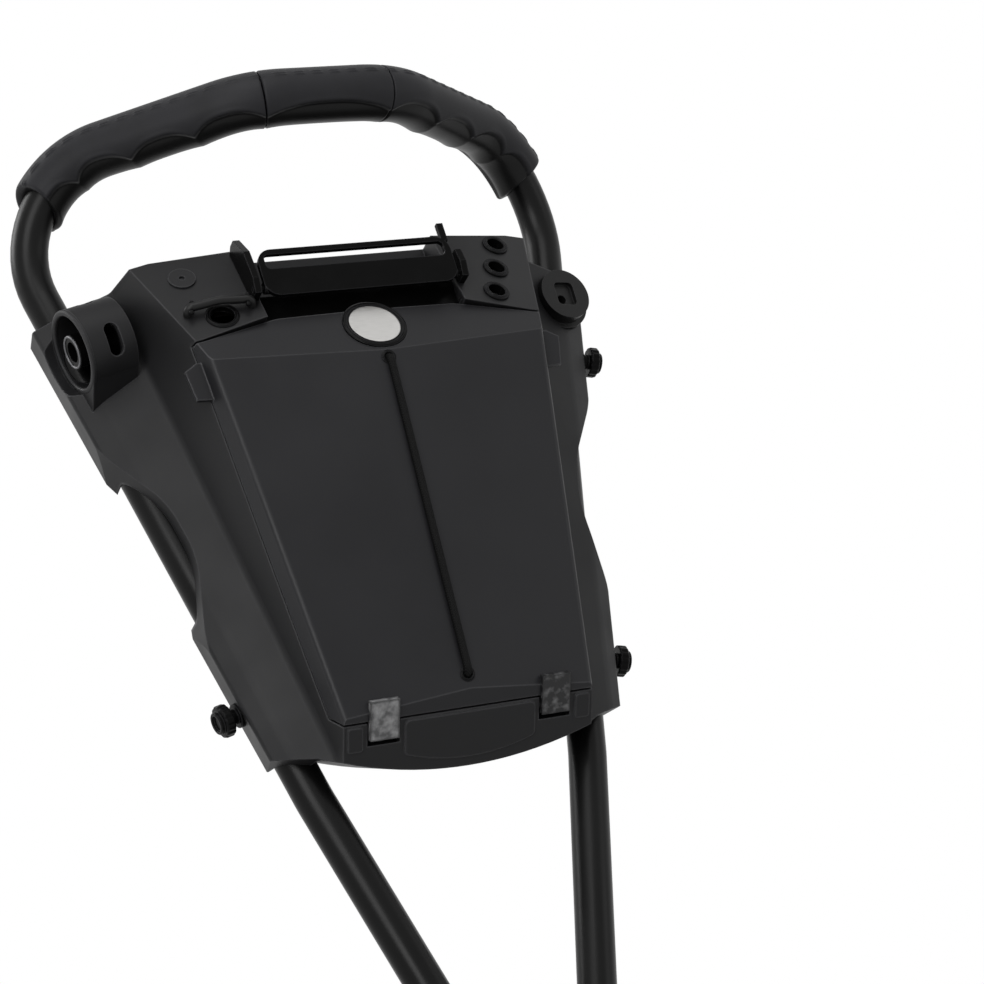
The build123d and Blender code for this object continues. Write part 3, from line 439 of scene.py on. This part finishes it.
plastics = {name: mouldedPlastic(name, look) for name, look in plasticLooks.items()}
gripRubber = overMouldedRubber("overMouldedRubber", rubberLook)
cordSheath = wovenCord("braidedCord", cordLook)
metals = {name: brightMetal(name, look) for name, look in metalLooks.items()}
finishes = {
    "black_plastic": plastics["mouldedHousing"],
    "lid_plastic": plastics["mouldedLid"],
    "gloss_black": plastics["glossNylon"],
    "grip_foam": gripRubber,
    "black_rubber": plastics["softVinyl"],
    "black_tube": plastics["powderCoat"],
    "black_cord": cordSheath,
    "zinc_steel": metals["zincPlatedSteel"],
    "bright_disc": metals["satinAluminium"],
}
# pieces that don't look like the rest of their slot
ownFinishes = {
    # the hinge plates carry painted light: a painted highlight on the left one, painted glints on the right
    # one
    "hinge_tab_left": plastics["lacquerPaintedHighlight"],
    "hinge_tab_right": plastics["lacquerPaintedGlints"],
    "strap_loop": plastics["softVinyl"],
    "clip_fin_left": plastics["glossNylon"],
    "clip_fin_right": plastics["glossNylon"],
    "accessory_disc": plastics["softVinyl"],
}


def dressNodes():
    for part in frame["record"]["subparts"]:
        node = frame["nodes"][part["node"]]
        node.data.materials.clear()
        node.data.materials.append(ownFinishes.get(part["node"], finishes[part["material_slot"]]))


dressNodes()
print("materials assigned")

handleLoop = {
    "bendX": 83.5, "bendHeight": 190.0, "legSlope": 0.24,      # the legs, as in the frame
    "cornerHeight": 595.0, "cornerRadius": 59.0,
    "crownForward": 134.9, "crownDrop": 21.3, "crownHalf": 44.0, "crownRadius": 60.0,
    "arcStep": 0.3, "points": 6001,
}
gripSet = {
    "radius": 17.5, "bore": 11.05, "end": 197.0, "centreHalf": 37.0, "gap": 0.6,
    "endRound": 2.5, "seamRound": 1.0,
    "cutBackLeft": 17.0, "cutBackRight": 10.0,    # the outer side stops this much short of the end
    "fingers": 4, "scoopDepth": 2.4, "scoopWall": 12.0,     # the wall's width in degrees round the grip
    "archTop": -31.0, "archFoot": -55.0, "scoopBack": -165.0,
    "ribAngles": (27.0, 33.0), "ribHeight": 0.7, "ribWidth": 1.9, "dash": 11.0,
    "ribGap": 0.4, "lipHeight": 0.25, "lipWidth": 4.0, "lipBack": 2.0, "archPower": 2.6, "footFade": 14.0,
    "sides": 192, "rowMm": 0.9, "closeRows": 8, "closeMm": 4.0, "boreRows": 60,
}


def loopRun():
    # the tube's centre line from bend to bend, in handle mm, finely sampled
    s = handleLoop
    cornerX = s["bendX"] + s["legSlope"] * (s["cornerHeight"] - s["bendHeight"])
    share = 1 - s["crownHalf"] / cornerX
    crown = (-s["crownForward"] * share, s["cornerHeight"] - s["crownDrop"] * share)
    corners = [(-s["bendX"], 0, s["bendHeight"]), (-cornerX, 0, s["cornerHeight"]), (-s["crownHalf"], *crown),
               (s["crownHalf"], *crown), (cornerX, 0, s["cornerHeight"]), (s["bendX"], 0, s["bendHeight"])]
    radii = [0, s["cornerRadius"], s["crownRadius"], s["crownRadius"], s["cornerRadius"], 0]
    return evenly(roundedRun(corners, radii, s["arcStep"]), s["points"])


loopLine = loopRun()
loopLength = np.linalg.norm(np.diff(loopLine, axis=0), axis=1).sum()
loopNormal = unit([0, -handleLoop["crownDrop"], handleLoop["crownForward"]])


def loopAt(s):
    # place and direction at s mm along the loop from the crown, left to right
    at = np.clip(s / loopLength + 0.5, 0, 1) * (len(loopLine) - 1)
    steps = np.arange(len(loopLine))
    way = np.gradient(loopLine, axis=0)
    return (np.stack([np.interp(at, steps, loopLine[:, k]) for k in range(3)], axis=-1),
            unit(np.stack([np.interp(at, steps, way[:, k]) for k in range(3)], axis=-1)))


def gripRadius(s, angle, seam):
    # radius of the sleeve: a round bar, less a scoop for each finger under an arched edge,
    # plus two dashed ribs along its top. angle is 0 on the outside of the loop, 90 on top.
    g = gripSet
    armLength = g["end"] - g["centreHalf"]
    share = (s + g["centreHalf"]) / (2 * g["centreHalf"]) if seam == "centre" else \
        np.mod((np.abs(s) - g["centreHalf"]) / armLength * g["fingers"], 1)
    arch = 1 - np.abs(2 * share - 1) ** g["archPower"]
    top = g["archFoot"] + (g["archTop"] - g["archFoot"]) * arch
    turned = np.where(angle > 100, angle - 360, angle)
    scoop = smooth((top - turned) / g["scoopWall"]) * smooth((turned - g["scoopBack"]) / g["footFade"])
    # the scoop is deepest in the middle of each finger, and its edge stands a little proud
    lip = np.exp(-((top - turned + g["lipBack"]) / g["lipWidth"]) ** 2) * arch
    radius = g["radius"] - g["scoopDepth"] * scoop * (0.6 + 0.4 * arch) + g["lipHeight"] * lip
    dashes = smooth(4 * (0.5 - np.abs(np.mod(s / g["dash"], 1) - 0.5)) - g["ribGap"])
    for rib in g["ribAngles"]:
        radius = radius + g["ribHeight"] * np.exp(-((turned - rib) / g["ribWidth"]) ** 2) * dashes
    return radius, scoop


def gripPiece(name, start, end, seam, cutBack):
    # the sleeve's skin: out along its length, over a rounded end, back along the bore, and round again
    g = gripSet
    angle = np.arange(g["sides"]) * 360 / g["sides"]
    rows = int((end - start) / g["rowMm"])
    # each row's share of the length, with close rows at both ends for their rounding
    edge = g["closeMm"] / (end - start)
    near = np.linspace(0, 1, g["closeRows"], endpoint=False) ** 2 * g["closeMm"] / (end - start)
    share = np.concatenate([near, np.linspace(edge, 1 - edge, rows), 1 - near[::-1]])
    outward = 0.5 + 0.5 * np.cos(np.radians(angle))
    first = start + (cutBack * outward if seam == "left" else 0 * outward)
    last = end - (cutBack * outward if seam == "right" else 0 * outward)
    s = first + (last - first) * share[:, None]
    radius, scoop = gripRadius(s, angle[None, :], seam)
    for inward, size in ((s - first, g["endRound"] if seam == "left" else g["seamRound"]),
                         (last - s, g["endRound"] if seam == "right" else g["seamRound"])):
        inset = np.clip(1 - inward / size, 0, 1)
        radius = radius - size * (1 - np.sqrt(1 - inset ** 2))
    bore = last + (first - last) * np.linspace(0, 1, g["boreRows"])[:, None]
    radius = np.vstack([radius, np.full(bore.shape, g["bore"])])
    scoop = np.vstack([scoop, np.zeros(bore.shape)])
    s = np.vstack([s, bore])
    centre, way = loopAt(s)
    outside = unit(np.cross(way, loopNormal))
    top = np.cross(outside, way)
    turn = np.radians(angle)[None, :, None]
    grid = centre + radius[..., None] * (outside * np.cos(turn) + top * np.sin(turn))
    piece = surfacePiece(name, alongHandle(grid), gripRubber, "root", wrapRows=True,
                         marks=("scoop", scoop))
    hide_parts({"left": "grip_left", "centre": "grip_centre", "right": "grip_right"}[seam])
    return piece


edgeAt = gripSet["centreHalf"] + gripSet["gap"] / 2
gripPiece("gripSkinLeft", -gripSet["end"], -edgeAt, "left", gripSet["cutBackLeft"])
gripPiece("gripSkinCentre", -edgeAt + gripSet["gap"], edgeAt - gripSet["gap"], "centre", 0.0)
gripPiece("gripSkinRight", edgeAt, gripSet["end"], "right", gripSet["cutBackRight"])
print("grips made")

deckSet = {"depth": 75.3, "height": 439.0, "side": 104.0, "slope": 0.32, "fall": 0.13}


def onDeck(x, height):
    # a place on the deck's face, with its outward, sideways and upward directions
    d = deckSet
    side = 1 if x > 0 else -1
    y = -d["depth"] + d["slope"] * (height - d["height"]) + d["fall"] * (abs(x) - d["side"])
    out = unit([side * d["fall"], -1, d["slope"]])
    across = unit([1, side * d["fall"], 0])
    return np.array([x, y, height]), out, across, np.cross(out, across)


ringStep = 0.12               # mm along a ring's rounded corners
ringPoints = 97


def ringPiece(name, wall, place, axis, sides, material, body):
    # a ring turned from the closed outline of its wall, a list of (radius, height, corner rounding) in mm
    corners = [(radius, height) for radius, height, rounding in wall]
    points = roundedRun(corners, [rounding for radius, height, rounding in wall], ringStep, closed=True)
    profile = evenly(np.vstack([points, points[:1]]), ringPoints)[:-1]
    grid = turnedGrid(profile, place, axis, sides)
    return surfacePiece(name, alongHandle(grid), material, body, wrapRows=True)


teeSet = {
    "places": [("tee_ring_upper", 101.0, 495.7), ("tee_ring_middle", 92.7, 475.4),
               ("tee_ring_lower", 84.2, 455.4)],
    "wall": [(5.1, -5, 0.2), (6.3, -5, 0.2), (6.3, 0, 0), (8, 0, 0.1), (8, 1.4, 0.6), (6.9, 1.4, 0.3),
             (6.6, 0.9, 0.15), (6.3, 1.8, 0.3), (5.1, 1.8, 0.5)],
    "sides": 96,
}


def makeTees():
    # soft ring: a collar on the deck with a raised inner lip round the hole
    for node, x, height in teeSet["places"]:
        place, out, _, _ = onDeck(x, height)
        piece = ringPiece(node + "_skin", teeSet["wall"], place, out, teeSet["sides"],
                          plastics["glossNylon"], "root")
        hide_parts(node)


strapSet = {
    "x": -85.5, "height": 459.3, "reach": 16.4, "rise": 5.2, "lift": 0.8, "lean": 0.25,
    "pinHalf": 3.9, "pinRadius": 1.0, "ballRadius": 1.55, "ballPoints": 25, "pinSides": 32,
    "holeHeight": 455.4, "holeSides": 96,
    "holeWall": [(7.0, -3, 0.1), (7.9, -3, 0.1), (7.9, 0.02, 0), (9.8, 0.02, 0.1), (9.8, 0.7, 0.4),
                 (8.6, 1.3, 0.5), (7.0, 0.9, 0.5)],
}


def makeStrapFittings():
    # cross pins with ball ends hold the strap, and a rolled eyelet lines the hole beneath it
    s = strapSet
    place, out, across, up = onDeck(s["x"], s["height"])
    turn = np.linspace(0, math.pi, s["ballPoints"])
    cut = math.asin(s["pinRadius"] / s["ballRadius"])
    ball = turn[turn <= math.pi - cut]
    end = np.stack([s["ballRadius"] * np.sin(ball), s["ballRadius"] * np.cos(ball)], axis=-1)
    end[:, 1] += s["pinHalf"]
    pin = np.vstack([end, end[::-1] * (1, -1)])
    for side, label in ((-1, "Left"), (1, "Right")):
        origin = place + across * side * s["reach"] + out * s["rise"] + up * s["lift"]
        grid = turnedGrid(pin, origin, up + s["lean"] * across, s["pinSides"])
        surfacePiece("strapPin" + label, alongHandle(grid), plastics["glossNylon"], "root")
    hole, out, _, _ = onDeck(s["x"], s["holeHeight"])
    ringPiece("strapEyelet", s["holeWall"], hole, out, s["holeSides"], plastics["glossNylon"], "root")


makeTees()
makeStrapFittings()
print("deck fittings made")

knobSet = {
    "places": [("knob_lower_left", -1, 245.0), ("knob_lower_right", 1, 245.0),
               ("knob_upper_right", 1, 443.0)],
    "forward": 1.0, "out": 15.3, "sunk": 3.0,
    "lobes": 14, "lobeDepth": 0.45, "rimFrom": (7.6, 10.0), "rimFade": (1.2, 1.0),
    "profileStep": 0.1, "profilePoints": 150, "sides": 168,
    "corners": [(0, 0), (7.0, 0), (7.0, 6.0), (4.5, 6.0), (4.5, 10.5), (9.3, 10.5), (9.3, 16.0), (6.4, 16.0),
                (6.4, 18.4), (4.4, 18.4), (4.4, 17.0), (0, 17.0)],
    "rounds": [0, 0.2, 0.5, 0.3, 0.6, 1.0, 1.2, 0.5, 0.7, 0.4, 0.3, 0],
}


def makeKnobs():
    # turned knob with a fluted rim and a dished cap; the flutes fade in towards the rim's outside
    k = knobSet
    profile = evenly(roundedRun(k["corners"], k["rounds"], k["profileStep"]), k["profilePoints"])

    def flutes(profile, angle):
        rim = smooth((profile - k["rimFrom"]) / k["rimFade"]).prod(axis=1)
        return k["lobeDepth"] * rim[:, None] * (np.abs(np.cos(angle * k["lobes"] / 2))[None, :] - 1)

    for node, side, height in k["places"]:
        slope = handleLoop["legSlope"]
        legX = handleLoop["bendX"] + slope * (height - handleLoop["bendHeight"])
        axis = unit([side, 0, -slope])
        origin = np.array([side * (legX + k["out"]), -k["forward"], height]) - axis * k["sunk"]
        grid = alongHandle(turnedGrid(profile, origin, axis, k["sides"], flutes))
        piece = surfacePiece(node + "_skin", grid, plastics["glossNylon"], "root")
        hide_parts(node)


cupSet = {
    "x": -161.0, "forward": 28.0, "height": 466.0,
    "lipSides": 144, "lipWall": [(21.2, -2, 0.2), (24.75, -2, 0.3), (24.75, 0.5, 1.3), (21.2, 0.5, 1.3)],
    "collarSides": 96, "collarWall": [(8.3, -1, 0.1), (9.8, -1, 0.1), (9.8, 0.7, 0.5), (8.3, 0.7, 0.5)],
}


def makeCupRims():
    # a rolled lip on the cup's mouth and a plated collar on the post's end
    c = cupSet
    out = unit([-1, 0, -handleLoop["legSlope"]])
    place = np.array([c["x"], -c["forward"], c["height"]])
    ringPiece("cupLip", c["lipWall"], place, out, c["lipSides"], plastics["mouldedHousing"], "root")
    ringPiece("postCollar", c["collarWall"], place, out, c["collarSides"], metals["dulledSteel"], "root")


makeKnobs()
makeCupRims()
print("knobs and cup rims made")

lidSet = {
    "faceDepth": 52.9, "faceSlope": 0.1387, "cordHigh": 413.0, "cordLow": 226.3, "eyeletSides": 48,
    "eyeletWall": [(2.45, -1.5, 0.1), (3.0, -1.5, 0.1), (3.0, -0.05, 0), (4.3, -0.05, 0.1), (4.3, 0.5, 0.3),
                   (3.2, 0.9, 0.3), (2.45, 0.5, 0.3)],
    "badgeHeight": 437.5, "browDepth": 78.0, "browHeight": 439.0, "browSlope": 0.30, "bezelSides": 144,
    "bezelWall": [(15.02, -1.5, 0.1), (18.78, -1.5, 0.1), (18.78, 0.6, 0.4), (17.6, 1.15, 0.4),
                  (16.6, 0.8, 0.3), (16.1, 1.2, 0.3), (15.02, 1.2, 0.4)],
}


def makeLidFittings():
    # eyelets where the cord goes through the lid, and the badge's bezel with its rolled inner edge
    s = lidSet
    out = unit([0, -1, -s["faceSlope"]])
    for name, height in (("cordEyeletHigh", s["cordHigh"]), ("cordEyeletLow", s["cordLow"])):
        y = -(s["faceDepth"] + s["faceSlope"] * (height - handleLoop["bendHeight"]))
        ringPiece(name, s["eyeletWall"], (0, y, height), out, s["eyeletSides"], plastics["glossNylon"],
                  "lid_body")
    y = -s["browDepth"] + s["browSlope"] * (s["badgeHeight"] - s["browHeight"])
    piece = ringPiece("badgeBezel", s["bezelWall"], (0, y, s["badgeHeight"]), (0, -1, s["browSlope"]),
                      s["bezelSides"], plastics["glossNylon"], "lid_body")
    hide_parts("badge_ring")


makeLidFittings()
print("lid fittings made")

backSet = {
    "rear": 11.0, "rows": [(64.0, 236.0), (82.0, 350.0), (104.0, 488.0)],      # half the spacing, and height
    "headRadius": 3.4, "headHeight": 1.5, "sunk": 0.4, "radii": 40, "sides": 96,
    "crossDepth": 0.9, "crossHalf": 0.62, "crossReach": 2.1, "crossWall": 0.25, "crossEnd": 0.3,
}


def makeBackScrews():
    # pan-head screws round the back plate, each with a cross cut in a low dome
    s = backSet
    r = np.linspace(0, s["headRadius"], s["radii"])[:, None]
    angle = np.linspace(0, 2 * math.pi, s["sides"], endpoint=False)[None, :]
    dome = s["headHeight"] * np.sqrt(np.clip(1 - (r / s["headRadius"]) ** 4, 0, 1)) + 0 * angle
    near = np.minimum(np.abs(r * np.cos(angle)), np.abs(r * np.sin(angle)))
    cross = smooth((s["crossHalf"] - near) / s["crossWall"]) * smooth((s["crossReach"] - r) / s["crossEnd"])
    flat = np.ones_like(angle)
    height = np.vstack([dome - s["crossDepth"] * cross, -s["sunk"] * flat, -s["sunk"] * flat])
    radius = np.vstack([r + 0 * angle, s["headRadius"] * flat, 0 * flat])
    around = np.vstack([angle + 0 * r, angle, angle])
    places = [(side * x, h) for x, h in s["rows"] for side in (-1, 1)]
    for number, (x, h) in enumerate(places, 1):
        across, up = radius * np.cos(around), radius * np.sin(around)
        grid = np.stack([x + across, s["rear"] + height, h + up], axis=-1)
        surfacePiece("backScrew%d" % number, alongHandle(grid), metals["zincPlatedSteel"], "root")


makeBackScrews()
print("back screws made")
